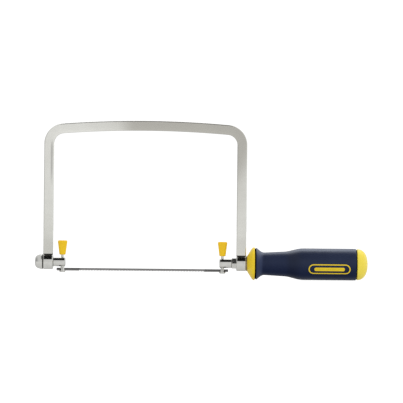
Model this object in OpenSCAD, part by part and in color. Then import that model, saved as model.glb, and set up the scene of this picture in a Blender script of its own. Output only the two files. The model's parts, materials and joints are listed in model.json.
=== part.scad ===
// Coping saw: a bow of flat steel bar with a brazed barrel on each end, a swivelling spigot in each
// barrel, a pinned blade between the spigots, and a two-colour handle that turns on a screw to
// tension the blade.
//
// Frame: the origin is on the spigot axis, midway along the palm swell of the handle. +X runs along
// the spigot axis to the rear end of the handle, and +Z points from that axis up to the bow.
// Front means the end far from the handle. Lengths are in millimetres.

/* [Blade] */
// Distance between the two cross pins of the blade
blade_pin_span = 162; // [140:1:170]
// Length of the blade beyond each cross pin
blade_overhang = 3.1; // [2:0.1:3.4]
// Height of the blade, back to tooth tips
blade_height = 2.8; // [2.1:0.1:3]
// Thickness of the blade
blade_thickness = 0.5; // [0.4:0.05:0.6]
// Length of one tooth
tooth_pitch = 1.5; // [1.2:0.1:2]
// Depth of the gullets
tooth_depth = 1.1; // [0.5:0.1:1.2]
// Plain length of the blade at each end, from the cross pin to the first tooth
blade_plain = 19.5; // [12:0.5:30]
// Distance of the blade's middle line below the spigot axis
blade_drop = 7.3; // [7.1:0.1:8]

/* [Bow] */
// Width of the steel bar, seen from the side of the saw
bar_width = 9.6; // [8:0.1:9.6]
// Thickness of the steel bar, across the saw
bar_thickness = 4.8; // [4.4:0.1:6]
// Chamfer along the four edges of the bar
bar_chamfer = 0.9; // [0.3:0.1:1.2]
// Height of the bow's outer top above the spigot axis
bow_height = 138.8; // [100:0.1:170]
// Radius of the two corners, at the bar's middle line
corner_radius = 14.9; // [10:0.1:25]
// Radius of the gently curved top, at the bar's middle line
top_radius = 1000; // [600:50:2000]

/* [Barrels and spigots] */
// Diameter of the barrels
barrel_diameter = 15; // [14.4:0.1:18]
// Length of each barrel
barrel_length = 9.8; // [9.8:0.1:12]
// Diameter of the spigot heads
head_diameter = 9.2; // [8.6:0.1:10]
// Length of the spigot heads
head_length = 12; // [11.5:0.1:14]
// Distance from the base of a spigot head to its lever pin
lever_offset = 9.1; // [8.4:0.1:9.2]
// Distance across the flats of the draw stud's hexagon
hex_flats = 10; // [9.4:0.1:10]
// Length of hexagon that shows between the rear barrel and the rear head
hex_shown = 4.4; // [3:0.1:6]
// Diameter of both threaded shanks
shank_diameter = 6; // [5:0.5:6]
// Travel of the draw stud from tensioned to slack
slack_travel = 4; // [2:0.5:4]

/* [Levers] */
// Diameter of a lever pin inside its spigot head
lever_pin_diameter = 3.4; // [3.2:0.1:3.8]
// Diameter of the thinner stem that carries the lever grip
stem_diameter = 2.6; // [2.2:0.1:2.8]
// Radius of the slotted foot that the blade hooks behind
foot_radius = 3.2; // [3:0.1:3.6]
// Distance from a lever pin's axis to the blade's cross pin
blade_seat = 2.6; // [2.5:0.05:2.9]
// Height of a lever grip
lever_grip_height = 14.1; // [10:0.1:18]
// Width of a lever grip at its top
lever_grip_top = 9.8; // [8.6:0.1:11]
// Width of a lever grip at its bottom
lever_grip_bottom = 6; // [5:0.1:7]
// Thickness of a lever grip at its middle
lever_grip_thickness = 6.4; // [6.2:0.1:8]

/* [Handle] */
// Diameter of the straight palm swell
palm_diameter = 31; // [28:0.2:34]
// Length of the straight palm swell
palm_length = 48; // [30:1:50]
// Diameter of the waist behind the bolster
waist_diameter = 22.2; // [21:0.2:24]
// Diameter of the bolster's crest
crest_diameter = 32.2; // [27:0.2:34]

/* [Hidden] */
$fn = 96;

nickel = [0.78, 0.78, 0.76];
chrome = [0.83, 0.84, 0.84];
blade_steel = [0.30, 0.30, 0.31];
dark_steel = [0.24, 0.24, 0.25];
brass = [0.68, 0.55, 0.32];
yellow = [0.93, 0.78, 0.12];
navy = [0.13, 0.16, 0.26];

// Fits
run_gap = 0.05;      // radial clearance of a shaft that turns or slides in a bore
press_gap = 0.02;    // gap left between parts that are pressed or moulded together
pin_gap = 0.05;      // gap of a lever pin in its spigot head
braze_gap = 0.04;    // gap that the brazing metal fills
face_gap = 0.05;     // gap between two faces that bear on each other

// Small fixed sizes
blade_pin_r = 0.75;
blade_pin_length = 6.4;
barrel_chamfer = 0.8;
washer_thickness = 0.6;
thrust_washer_thickness = 0.9;
nut_height = 7.3;
nut_taper = 0.17;    // share of its radius that the dome nut loses on its way to the tip

// Radii
barrel_r = barrel_diameter / 2;
head_r = head_diameter / 2;
shank_r = shank_diameter / 2;
lever_pin_r = lever_pin_diameter / 2;
stem_r = stem_diameter / 2;
palm_r = palm_diameter / 2;
waist_r = waist_diameter / 2;
crest_r = crest_diameter / 2;

// Stations along the handle, from its rear end forward
cap_end_x = 38.9;
cap_start_x = 28.1;
palm_rear_x = palm_length / 2;
palm_front_x = -palm_length / 2;
waist_rear_x = -42.5;
waist_front_x = -62;
crest_x = -71.5;
bolster_x = -79.2;

// Stations along the saw, from the handle forward
rear_barrel_x = bolster_x - thrust_washer_thickness - barrel_length / 2;
hex_front_x = rear_barrel_x - barrel_length / 2 - hex_shown;
rear_lever_x = hex_front_x - lever_offset;
rear_pin_x = rear_lever_x + blade_seat;
front_pin_x = rear_pin_x - blade_pin_span;
front_lever_x = front_pin_x + blade_seat;
front_barrel_x = front_lever_x - lever_offset - barrel_length / 2;
front_nut_x = front_barrel_x - barrel_length / 2 - washer_thickness;

// The bow's middle line: two legs, two corner arcs and the top arc, each tangent to the next
bow_x = (front_barrel_x + rear_barrel_x) / 2;
half_span = (rear_barrel_x - front_barrel_x) / 2;
top_centre_z = bow_height - bar_width / 2 - top_radius;
corner_x = half_span - corner_radius;
corner_z = top_centre_z + sqrt(pow(top_radius - corner_radius, 2) - pow(corner_x, 2));
// Half the angle of the top arc, rounded so that neighbouring arcs end on the same plane
top_angle = round(1e4 * asin(corner_x / (top_radius - corner_radius))) / 1e4;
top_lap = 0.0005;  // degrees by which the top arc laps over each corner arc, so that they join

// Tenon that locates the bar in a barrel
tenon_width = 6;
tenon_thickness = 3;
tenon_foot_z = 5.8;

// Lever pin and its flared foot, as heights above the spigot axis
grip_base_z = 6.9;
pin_shoulder_z = 1;
flare_top_z = -5.2;
flare_bottom_z = -9.2;
foot_bottom_z = -10.2;

// Draw stud
recess_depth = 6.6;          // depth of the rear barrel's hexagonal recess
hex_length = hex_shown + recess_depth - 0.2;
journal_r = 2.5;             // swivel journal in the rear head
journal_length = 5.3;
ring_width = 0.8;            // snap ring that holds the head on the journal
ring_inner_r = 2.1;
ring_outer_r = 2.9;
ring_front_x = hex_front_x - 3.4;
stud_end_x = -56;

// Handle insert
insert_r = 5;
insert_flats = 11;
insert_front_x = bolster_x + 2;
insert_hex_end_x = insert_front_x + 4;
insert_rear_x = -58;

// ---------------------------------------------------------------- helpers

// Solid turned about the X axis from [x, radius] points. The axis closes the outline.
module turned(points) {
    outline = concat(
        [[0, points[0][0]]],
        [for (p = points) [p[1], p[0]]],
        [[0, points[len(points) - 1][0]]]
    );
    rotate([0, 90, 0]) rotate_extrude() polygon(outline);
}

// Round rod along X
module rod_x(r, x0, x1) {
    translate([x0, 0, 0]) rotate([0, 90, 0]) cylinder(r = r, h = x1 - x0);
}

// Ring about the X axis
module ring_x(outer_r, inner_r, x0, x1) {
    difference() {
        rod_x(outer_r, x0, x1);
        rod_x(inner_r, x0 - 1, x1 + 1);
    }
}

// Hexagonal prism along X, with two of its edges on the Y axis
module hex_x(flats, x0, x1) {
    translate([x0, 0, 0]) rotate([0, 90, 0]) rotate([0, 0, 30])
        cylinder(r = flats / 2 / cos(30), h = x1 - x0, $fn = 6);
}

// Smooth step from 0 to 1
function ease(t) = let (u = max(0, min(1, t))) u * u * (3 - 2 * u);

function mix(a, b, t) = a + (b - a) * t;

// Points of a superellipse quarter from [x0, r0] to [x1, 0]
function nose(x0, x1, r0, power, steps) = [
    for (i = [1:steps - 1])
        let (a = 90 * i / steps)
        [x0 + (x1 - x0) * pow(sin(a), 2 / power), r0 * pow(cos(a), 2 / power)]
];

// ---------------------------------------------------------------- bow and barrels

// Section of the bar: x across its width, y across its thickness
module bar_section() {
    w = bar_width / 2;
    t = bar_thickness / 2;
    c = bar_chamfer;
    polygon([
        [w - c, -t], [w, -t + c], [w, t - c], [w - c, t],
        [-w + c, t], [-w, t - c], [-w, -t + c], [-w + c, -t]
    ]);
}

// One corner arc and one leg, on the rear side of the bow's middle
module half_bow() {
    translate([corner_x, 0, corner_z]) rotate([90, 0, 0])
        rotate_extrude(angle = 90 - top_angle)
            translate([corner_radius, 0]) bar_section();
    difference() {
        translate([half_span, 0, 0]) linear_extrude(corner_z) bar_section();
        rod_x(barrel_r + braze_gap, half_span - bar_width, half_span + bar_width);
    }
    translate([half_span - tenon_width / 2, -tenon_thickness / 2, tenon_foot_z])
        cube([tenon_width, tenon_thickness, barrel_r + 1 - tenon_foot_z]);
}

module bow() {
    half_arc = top_angle + top_lap;
    color(nickel) translate([bow_x, 0, 0]) {
        translate([0, 0, top_centre_z]) rotate([90, 0, 0])
            rotate_extrude(angle = 2 * half_arc, start = 90 - half_arc, $fn = 1440)
                translate([top_radius, 0]) bar_section();
        half_bow();
        mirror([1, 0, 0]) half_bow();
    }
}

// Barrel body with chamfered rims, a slot for the bar's tenon and a bore for a shank
module barrel_blank(x) {
    half = barrel_length / 2;
    slot_width = tenon_width + 2 * braze_gap;
    slot_thickness = tenon_thickness + 2 * braze_gap;
    difference() {
        turned([
            [x - half, barrel_r - barrel_chamfer], [x - half + barrel_chamfer, barrel_r],
            [x + half - barrel_chamfer, barrel_r], [x + half, barrel_r - barrel_chamfer]
        ]);
        rod_x(shank_r + run_gap, x - half - 1, x + half + 1);
        translate([x - slot_width / 2, -slot_thickness / 2, tenon_foot_z - braze_gap])
            cube([slot_width, slot_thickness, barrel_r]);
    }
}

module front_barrel() {
    color(chrome) barrel_blank(front_barrel_x);
}

// The rear barrel has a hexagonal recess that keeps the draw stud from turning
module rear_barrel() {
    face_x = rear_barrel_x - barrel_length / 2;
    color(chrome) difference() {
        barrel_blank(rear_barrel_x);
        hex_x(hex_flats + 2 * run_gap, face_x - 1, face_x + recess_depth);
    }
}

// ---------------------------------------------------------------- spigots

// Head of a spigot, from its tip to its base, with the stepped cross hole for the lever pin
module spigot_head(base_x) {
    tip_x = base_x - head_length;
    difference() {
        turned([
            [tip_x, head_r - 0.7], [tip_x + 0.2, head_r - 0.3], [tip_x + 0.6, head_r],
            [base_x - 0.4, head_r], [base_x, head_r - 0.4]
        ]);
        translate([base_x - lever_offset, 0, 0]) cylinder(r = stem_r + pin_gap, h = head_r + 1);
        translate([base_x - lever_offset, 0, -head_r - 1])
            cylinder(r = lever_pin_r + pin_gap, h = head_r + 1 + pin_shoulder_z + pin_gap);
    }
}

// The front spigot is one turned piece: its head faces the blade and its shank runs through the
// front barrel and the washer into the dome nut.
module front_spigot() {
    base_x = front_barrel_x + barrel_length / 2 + face_gap;
    shank_end_x = front_nut_x - 5;
    color(chrome) {
        translate([2 * base_x, 0, 0]) mirror([1, 0, 0]) spigot_head(base_x);
        turned([[shank_end_x, shank_r - 0.6], [shank_end_x + 0.6, shank_r], [base_x + 1, shank_r]]);
    }
}

module front_washer() {
    face_x = front_barrel_x - barrel_length / 2;
    color(dark_steel)
        ring_x(barrel_r - 0.4, shank_r + run_gap, face_x - washer_thickness + face_gap, face_x - face_gap);
}

// Domed nut that tapers a little before it rounds over
module front_dome_nut() {
    x = front_nut_x - face_gap;
    color(chrome) difference() {
        turned(concat(
            [[x, barrel_r - 0.3], [x - 0.3, barrel_r]],
            [for (p = nose(x, x - nut_height, barrel_r, 4, 14))
                [p[0], p[1] * (1 - nut_taper * (x - p[0]) / nut_height)]],
            [[x - nut_height, 0]]
        ));
        rod_x(shank_r + press_gap, x - 5.6, x + 1);
    }
}

// The rear head swivels on the draw stud's journal and is held there by a snap ring
module rear_spigot() {
    base_x = hex_front_x - face_gap;
    color(chrome) difference() {
        spigot_head(base_x);
        rod_x(journal_r + run_gap, hex_front_x - journal_length - 0.2, base_x + 1);
        rod_x(ring_outer_r + run_gap, ring_front_x - press_gap, ring_front_x + ring_width + press_gap);
    }
}

// Snap ring between the journal's groove and the groove in the head's bore
module snap_ring() {
    color(dark_steel) ring_x(ring_outer_r, ring_inner_r + run_gap, ring_front_x, ring_front_x + ring_width);
}

// The draw stud slides in the rear barrel but can't turn there. Its threaded shank is screwed into
// the handle, so that turning the handle draws the rear head backwards.
module draw_stud() {
    x = hex_front_x;
    hex_r = hex_flats / 2 / cos(30);
    groove_x = [ring_front_x - run_gap, ring_front_x + ring_width + run_gap];
    color(chrome) {
        intersection() {
            hex_x(hex_flats, x, x + hex_length);
            turned([
                [x, hex_flats / 2 - 0.1], [x + 0.5, hex_r + 0.1],
                [x + hex_length - 0.5, hex_r + 0.1], [x + hex_length, hex_flats / 2 - 0.1]
            ]);
        }
        turned([
            [x - journal_length, journal_r - 0.3], [x - journal_length + 0.3, journal_r],
            [groove_x[0], journal_r], [groove_x[0], ring_inner_r],
            [groove_x[1], ring_inner_r], [groove_x[1], journal_r], [x + 1, journal_r]
        ]);
        turned([[x + 1, shank_r], [stud_end_x - 0.8, shank_r], [stud_end_x, shank_r - 0.8]]);
    }
}

// ---------------------------------------------------------------- levers

// Pin that crosses a spigot head. Its flared foot is slotted for the blade and has a groove for the
// blade's cross pin on the outboard side (-1 in front, 1 at the rear).
module lever_pin(x, outboard) {
    slot_width = blade_thickness + 0.2;
    slot_top_z = -blade_drop + blade_height / 2 + 0.1;
    stem_top_z = grip_base_z + lever_grip_height - 3;
    color(chrome) translate([x, 0, 0]) difference() {
        rotate_extrude() polygon([
            [0, foot_bottom_z], [foot_radius - 1, foot_bottom_z], [foot_radius - 0.3, foot_bottom_z + 0.3],
            [foot_radius, flare_bottom_z], [lever_pin_r, flare_top_z], [lever_pin_r, pin_shoulder_z],
            [stem_r, pin_shoulder_z], [stem_r, stem_top_z], [0, stem_top_z]
        ]);
        translate([-foot_radius - 1, -slot_width / 2, foot_bottom_z - 1])
            cube([2 * foot_radius + 2, slot_width, slot_top_z - foot_bottom_z + 1]);
        translate([outboard * blade_seat, 0, -blade_drop]) rotate([90, 0, 0])
            cylinder(r = blade_pin_r + press_gap, h = 4 * foot_radius, center = true);
    }
}

// Flared plastic grip on the stem of a lever pin, with two rounded broad faces
module lever_grip(x) {
    base_r = lever_grip_bottom / 2;
    top_r = lever_grip_top / 2;
    top_z = lever_grip_height;
    half = lever_grip_thickness / 2;
    edge = 1.4;
    face_r = (pow(half - edge, 2) + pow(top_r, 2)) / (2 * (half - edge));
    color(yellow) translate([x, 0, grip_base_z + face_gap]) difference() {
        intersection() {
            rotate_extrude() polygon([
                [0, 0], [base_r - 0.5, 0], [base_r, 0.5], [top_r - 0.05, top_z - 1.8],
                [top_r - 0.1, top_z - 1.1], [top_r - 0.6, top_z - 0.4], [top_r - 1.4, top_z], [0, top_z]
            ]);
            translate([0, face_r - half, -1]) cylinder(r = face_r, h = top_z + 2);
            translate([0, half - face_r, -1]) cylinder(r = face_r, h = top_z + 2);
        }
        translate([0, 0, -1]) cylinder(r = stem_r + press_gap, h = lever_grip_height - 3 + 1 + 0.1);
    }
}

module front_lever_pin() { lever_pin(front_lever_x, -1); }
module front_lever_grip() { lever_grip(front_lever_x); }
module rear_lever_pin() { lever_pin(rear_lever_x, 1); }
module rear_lever_grip() { lever_grip(rear_lever_x); }

// ---------------------------------------------------------------- blade

// Strip with plain ends and teeth on its lower edge that lean towards the handle
module blade() {
    back_z = -blade_drop + blade_height / 2;
    tip_z = -blade_drop - blade_height / 2;
    gullet_z = tip_z + tooth_depth;
    start_x = front_pin_x - blade_overhang;
    end_x = rear_pin_x + blade_overhang;
    teeth_x = front_pin_x + blade_plain;
    teeth = floor((blade_pin_span - 2 * blade_plain) / tooth_pitch);
    outline = concat(
        [[end_x, back_z], [start_x, back_z], [start_x, tip_z], [teeth_x, tip_z], [teeth_x, gullet_z]],
        [for (i = [0:teeth - 1], corner = [0, 1])
            let (x = teeth_x + i * tooth_pitch)
            corner == 0 ? [x + 0.8 * tooth_pitch, tip_z] : [x + tooth_pitch, gullet_z]],
        [[teeth_x + teeth * tooth_pitch, tip_z], [end_x, tip_z]]
    );
    color(blade_steel) difference() {
        translate([0, blade_thickness / 2, 0]) rotate([90, 0, 0])
            linear_extrude(blade_thickness) polygon(outline);
        for (x = [front_pin_x, rear_pin_x])
            translate([x, 0, -blade_drop]) rotate([90, 0, 0])
                cylinder(r = blade_pin_r + press_gap / 2, h = 2, center = true);
    }
}

// The two cross pins pressed through the blade's ends
module blade_pins() {
    color(dark_steel)
        for (x = [front_pin_x, rear_pin_x])
            translate([x, 0, -blade_drop]) rotate([90, 0, 0])
                cylinder(r = blade_pin_r, h = blade_pin_length, center = true);
}

// ---------------------------------------------------------------- handle

// Outer radius of the sleeve at station x
function sleeve_r(x) =
    let (
        neck = mix(waist_r, waist_r + 1.1, (x - waist_front_x) / (waist_rear_x - waist_front_x)),
        swell = ease((x - waist_rear_x) / (palm_front_x - waist_rear_x)),
        flare = ease(pow(max(0, (waist_front_x - x) / (waist_front_x - crest_x)), 1.3))
    )
    x < waist_front_x ? mix(waist_r, crest_r - 0.2, flare) : mix(neck, palm_r, swell);

// Radius of the core under the sleeve: a thin neck, a ramp and a thicker barrel
core_neck_r = 8.2;
core_palm_r = 12.2;
core_ramp_x = [-40, -26];
core_cavity_r = 8;
core_cavity_x = -20;

module thrust_washer() {
    color(brass)
        ring_x(barrel_r - 0.1, shank_r + run_gap, bolster_x - thrust_washer_thickness + face_gap,
               bolster_x - face_gap);
}

// Threaded metal insert moulded into the core, with a hexagon that keeps it from turning there
module handle_insert() {
    color(brass) difference() {
        union() {
            hex_x(insert_flats, insert_front_x, insert_hex_end_x);
            rod_x(insert_r, insert_front_x, insert_rear_x);
        }
        rod_x(shank_r + run_gap, insert_front_x - 1, insert_rear_x + 1);
    }
}

// Hard plastic core: the bolster cone that shows in front, and a hollow tube under the sleeve
module handle_core() {
    color(yellow) difference() {
        turned([
            [bolster_x, 7.2], [bolster_x + 0.3, 7.6], [bolster_x + 4, crest_r - 2],
            [bolster_x + 5.2, crest_r - 0.6], [bolster_x + 6.1, crest_r - 0.15],
            [bolster_x + 6.9, crest_r], [crest_x, crest_r],
            [crest_x, core_neck_r], [core_ramp_x[0], core_neck_r], [core_ramp_x[1], core_palm_r],
            [cap_start_x, core_palm_r]
        ]);
        rod_x(shank_r + 0.4, bolster_x - 1, core_cavity_x + 1);
        rod_x(insert_r + press_gap, insert_front_x + 1, insert_rear_x + press_gap);
        hex_x(insert_flats + 2 * press_gap, insert_front_x - press_gap, insert_hex_end_x + press_gap);
        rod_x(core_cavity_r, core_cavity_x, cap_start_x + 1);
    }
}

// Soft sleeve moulded over the core
module handle_sleeve() {
    flare_steps = 8;
    swell_steps = 12;
    color(navy) difference() {
        turned(concat(
            [[crest_x + press_gap, crest_r - 0.5], [crest_x + 0.5, crest_r - 0.1]],
            [for (i = [1:flare_steps])
                let (x = mix(crest_x, waist_front_x, i / flare_steps)) [x, sleeve_r(x)]],
            [for (i = [0:swell_steps])
                let (x = mix(waist_rear_x, palm_front_x, i / swell_steps)) [x, sleeve_r(x)]],
            [[palm_rear_x, palm_r], [cap_start_x - 0.6, palm_r - 0.2],
             [cap_start_x - press_gap, palm_r - 0.5]]
        ));
        turned([
            [crest_x - 1, core_neck_r + press_gap], [core_ramp_x[0], core_neck_r + press_gap],
            [core_ramp_x[1], core_palm_r + press_gap], [cap_start_x + 1, core_palm_r + press_gap]
        ]);
    }
}

// Rounded end cap with a plug that closes the hollow core
module handle_end_cap() {
    cap_r = palm_r - 0.3;
    color(yellow) turned(concat(
        [[cap_start_x - 12, core_cavity_r - 1], [cap_start_x - 11, core_cavity_r - press_gap],
         [cap_start_x + face_gap, core_cavity_r - press_gap], [cap_start_x + face_gap, cap_r - 0.2],
         [cap_start_x + 0.4, cap_r]],
        nose(cap_start_x + 0.4, cap_end_x, cap_r, 2.25, 14),
        [[cap_end_x, 0]]
    ));
}

// ---------------------------------------------------------------- assembly

bow();
front_barrel();
rear_barrel();
front_spigot();
front_washer();
front_dome_nut();
front_lever_pin();
front_lever_grip();
blade();
blade_pins();
rear_spigot();
rear_lever_pin();
rear_lever_grip();
draw_stud();
snap_ring();
thrust_washer();
handle_insert();
handle_core();
handle_sleeve();
handle_end_cap();
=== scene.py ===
"""Looks of the coping saw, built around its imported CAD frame.

Lengths are in millimetres until a mesh is made; materials and the studio are in metres. The axes are
the frame's own: +X along the spigot axis to the rear of the handle, +Z up to the bow. The camera
looks along +Y. An outline is a list of (x, radius) or (z, radius) points.
"""
import json
import math

import bmesh
import bpy
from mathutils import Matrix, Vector


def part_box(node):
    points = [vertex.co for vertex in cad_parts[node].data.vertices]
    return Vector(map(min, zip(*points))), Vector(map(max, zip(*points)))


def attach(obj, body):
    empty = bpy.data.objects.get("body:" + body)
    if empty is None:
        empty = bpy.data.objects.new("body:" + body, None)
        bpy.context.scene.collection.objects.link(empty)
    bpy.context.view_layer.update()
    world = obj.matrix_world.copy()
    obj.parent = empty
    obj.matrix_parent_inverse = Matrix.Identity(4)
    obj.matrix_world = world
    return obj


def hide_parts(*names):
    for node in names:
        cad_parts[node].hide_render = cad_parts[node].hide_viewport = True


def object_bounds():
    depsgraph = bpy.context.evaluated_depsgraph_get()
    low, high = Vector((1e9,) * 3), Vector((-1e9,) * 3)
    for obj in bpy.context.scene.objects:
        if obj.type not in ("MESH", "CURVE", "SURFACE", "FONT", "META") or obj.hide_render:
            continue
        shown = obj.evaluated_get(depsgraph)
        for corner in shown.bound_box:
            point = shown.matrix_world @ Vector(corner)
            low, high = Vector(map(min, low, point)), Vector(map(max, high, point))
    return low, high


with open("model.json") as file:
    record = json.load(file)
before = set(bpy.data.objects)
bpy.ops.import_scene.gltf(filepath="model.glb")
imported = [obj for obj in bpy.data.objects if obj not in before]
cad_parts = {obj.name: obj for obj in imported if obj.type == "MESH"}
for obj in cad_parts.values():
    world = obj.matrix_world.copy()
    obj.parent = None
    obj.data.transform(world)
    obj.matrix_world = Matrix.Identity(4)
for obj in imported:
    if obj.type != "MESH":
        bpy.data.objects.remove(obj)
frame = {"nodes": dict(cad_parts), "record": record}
cad_low, cad_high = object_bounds()

MM = 0.001
RECORD = frame["record"]
BODY_OF = {node: body for body, nodes in RECORD["behaviour"]["bodies"].items() for node in nodes}


def box_mm(node):
    """Lowest and highest corner of a CAD node, in millimetres."""
    low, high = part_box(node)
    return low / MM, high / MM


def middle(node):
    low, high = box_mm(node)
    return (low + high) / 2


# ---------------------------------------------------------------- sizes

bow_low, bow_high = box_mm("bow")
front_barrel_low, front_barrel_high = box_mm("front_barrel")
rear_barrel_low, rear_barrel_high = box_mm("rear_barrel")
stud_low, stud_high = box_mm("draw_stud")
ring_low, ring_high = box_mm("snap_ring")
blade_low, blade_high = box_mm("blade")
insert_low, insert_high = box_mm("handle_insert")
core_low, core_high = box_mm("handle_core")
sleeve_low, sleeve_high = box_mm("handle_sleeve")
cap_low, cap_high = box_mm("handle_end_cap")

# Gaps around parts that turn, and around parts that are pressed or moulded together
RUN_GAP = 0.05
PRESS_GAP = 0.02

# Bar of the bow: both bend radii are those of its middle line
BAR_WIDTH = 9.6
BAR_THICKNESS = bow_high.y - bow_low.y
BAR_EDGE_R = 1.1
CORNER_R = 14.9
TOP_R = 1000.0
BRAZE_SINK = 0.1

# Barrels
BARREL_R = front_barrel_high.z
BARREL_CHAMFER = 0.8
BORE_CHAMFER = 0.4
HEX_RECESS = 6.6

# Draw stud
SHANK_R = 3.0
HEX_HALF = stud_high.z
HEX_LENGTH = 10.8
JOURNAL_R = 2.5
JOURNAL_LENGTH = 5.3
RING_GROOVE_R = 2.1
HEX_FRONT_X = stud_low.x + JOURNAL_LENGTH
HEX_REAR_X = HEX_FRONT_X + HEX_LENGTH

# Dome nut: the taper is the share of its radius that it loses on its way to the tip
NUT_TAPER = 0.17
NUT_RIM = 1.2
NUT_BORE_DEPTH = 5.6

# Levers: the blade's cross pin lies in a groove, BLADE_SEAT outboard of the lever pin's axis
LEVER_PIN_R = 1.7
STEM_R = 1.3
BLADE_SEAT = 2.6
GROOVE_R = 0.78
SLOT_HALF = 0.35

# Blade: every other tooth is set to a side, and a tooth's tip is flat between two shares of its pitch
TOOTH_PITCH = 1.5
TOOTH_DEPTH = 1.1
TOOTH_SET = 0.12
SET_PATTERN = (0, 1, 0, -1)
TOOTH_TIP = (0.74, 0.82)
BLADE_PLAIN = 19.5
BLADE_OVERHANG = 3.1

# Outside of the handle: the waist's radius grows from its front to its rear
PALM_R = next(mount["dims"]["r_mm"] for mount in RECORD["mounts"] if mount["name"] == "grip")
CREST_R = core_high.z
WAIST_R = 11.1
WAIST_GROWTH = 1.1
CREST_X = sleeve_low.x
WAIST_FRONT_X, WAIST_REAR_X = -62.0, -42.5
PALM_FRONT_X, PALM_REAR_X = -24.0, 24.0

# Seam between the handle's cone and its sleeve
SEAM_DEPTH = 1.0
SEAM_FRONT_X = CREST_X - 0.4
SEAM_REAR_X = CREST_X + 0.9

# Inside of the handle: a thin neck, a ramp and a thicker tube around a cavity
NECK_R, TUBE_R = 8.2, 12.2
RAMP_FRONT_X, RAMP_REAR_X = -40.0, -26.0
CAVITY_R, CAVITY_X = 8.0, -20.0
INSERT_R = 5.0
INSERT_HEX_LENGTH = 4.0

# Facets of a full turn, the angle in degrees from which an edge stays sharp, and the distances in
# metres below which vertices are merged
AROUND = 96
AROUND_HANDLE = 128
SHARP = 32
MERGE = 1e-7
CUT_MERGE = 5e-6


# ---------------------------------------------------------------- mesh helpers

def fillet(points, steps=5):
    """Outline with rounded corners. Each point is (a, b) or (a, b, radius); the ends stay sharp."""
    straight, room = 1e-3, 0.49
    outline = [Vector(points[0][:2])]
    for before, here, after in zip(points, points[1:], points[2:]):
        radius = here[2] if len(here) > 2 else 0
        corner = Vector(here[:2])
        back, ahead = Vector(before[:2]) - corner, Vector(after[:2]) - corner
        turn = back.angle(ahead, 0)
        if radius <= 0 or turn < straight or turn > math.pi - straight:
            outline.append(corner)
            continue
        reach = min(radius / math.tan(turn / 2), room * back.length, room * ahead.length)
        start, end = corner + back.normalized() * reach, corner + ahead.normalized() * reach
        for i in range(steps + 1):
            t = i / steps
            outline.append(start.lerp(corner, t).lerp(corner.lerp(end, t), t))
    outline.append(Vector(points[-1][:2]))
    return [tuple(point) for point in outline]


def superellipse(start, end, radius, power, steps):
    """Outline of a blunt nose from its rim at the start to its tip at the end."""
    points = []
    for i in range(steps + 1):
        angle = math.pi / 2 * i / steps
        across = math.cos(angle) ** (2 / power) if i < steps else 0
        points.append((start + (end - start) * math.sin(angle) ** (2 / power), radius * across))
    return points


def clean(mesh, merge=MERGE):
    """Merges vertices that are closer than merge, drops empty faces and turns all faces outward."""
    work = bmesh.new()
    work.from_mesh(mesh)
    bmesh.ops.remove_doubles(work, verts=work.verts, dist=merge)
    bmesh.ops.dissolve_degenerate(work, edges=work.edges, dist=merge)
    bmesh.ops.recalc_face_normals(work, faces=work.faces)
    work.to_mesh(mesh)
    work.free()


def add_object(name, vertices, faces):
    """Object in the scene with a clean mesh of vertices given in millimetres."""
    mesh = bpy.data.meshes.new(name)
    mesh.from_pydata([Vector(v) * MM for v in vertices], [], faces)
    clean(mesh)
    body = bpy.data.objects.new(name, mesh)
    bpy.context.scene.collection.objects.link(body)
    return body


def shade(mesh, sharp):
    """Smooth shading, with edges that turn by more than an angle in degrees left sharp."""
    mesh.shade_smooth()
    mesh.set_sharp_from_angle(angle=math.radians(sharp))


def make_piece(name, vertices, faces, node, material, replaces=True, sharp=SHARP):
    """Makes a piece that rides on a CAD node's body and, unless told otherwise, stands for the node."""
    piece = add_object(name, vertices, faces)
    shade(piece.data, sharp)
    piece.data.materials.append(material)
    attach(piece, BODY_OF[node])
    if replaces:
        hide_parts(node)
    return piece


def loft(rings, closed=False):
    """Vertices and faces of a skin over rings of points. A ring of one point closes an end to a tip."""
    vertices, faces, starts = [], [], []
    for ring in rings:
        starts.append(len(vertices))
        vertices.extend(ring)
    pairs = list(zip(range(len(rings) - 1), range(1, len(rings))))
    if closed:
        pairs.append((len(rings) - 1, 0))
    for i, j in pairs:
        a, b, around = starts[i], starts[j], max(len(rings[i]), len(rings[j]))
        for k in range(around):
            after = (k + 1) % around
            if len(rings[i]) == 1:
                faces.append((a, b + k, b + after))
            elif len(rings[j]) == 1:
                faces.append((a + k, a + after, b))
            else:
                faces.append((a + k, a + after, b + after, b + k))
    return vertices, faces


def turn_angles(count):
    """Evenly spaced angles of a full turn."""
    return [2 * math.pi * k / count for k in range(count)]


def circle_about_x(x, radius, around):
    """Ring about the spigot axis. The radius is a number or a function of the angle from +Y to +Z."""
    points = []
    for angle in turn_angles(around):
        r = radius(angle) if callable(radius) else radius
        points.append((x, r * math.cos(angle), r * math.sin(angle)))
    return points


def circle_about_z(x, z, radius, around):
    """Ring about a vertical axis through x."""
    return [(x + radius * math.cos(a), radius * math.sin(a), z) for a in turn_angles(around)]


def turned(name, outline, node, material, closed=False, around=AROUND, sharp=SHARP):
    """Piece turned about the spigot axis from an outline, tip to tip or as a closed ring."""
    rings = []
    for x, radius in outline:
        rings.append([(x, 0, 0)] if radius == 0 else circle_about_x(x, radius, around))
    return make_piece(name, *loft(rings, closed), node, material, sharp=sharp)


def turned_about_z(outline, x, around):
    """Vertices and faces of a body turned about a vertical axis through x."""
    rings = []
    for z, radius in outline:
        rings.append(circle_about_z(x, z, radius, around) if radius else [(x, 0, z)])
    return loft(rings)


def turned_about_y(outline, x, z, around):
    """Vertices and faces of a body turned about an axis along Y. The outline is (y, radius) points."""
    rings = []
    for y, radius in outline:
        angles = turn_angles(around) if radius else [0]
        rings.append([(x + radius * math.cos(a), y, z + radius * math.sin(a)) for a in angles])
    return loft(rings)


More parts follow.
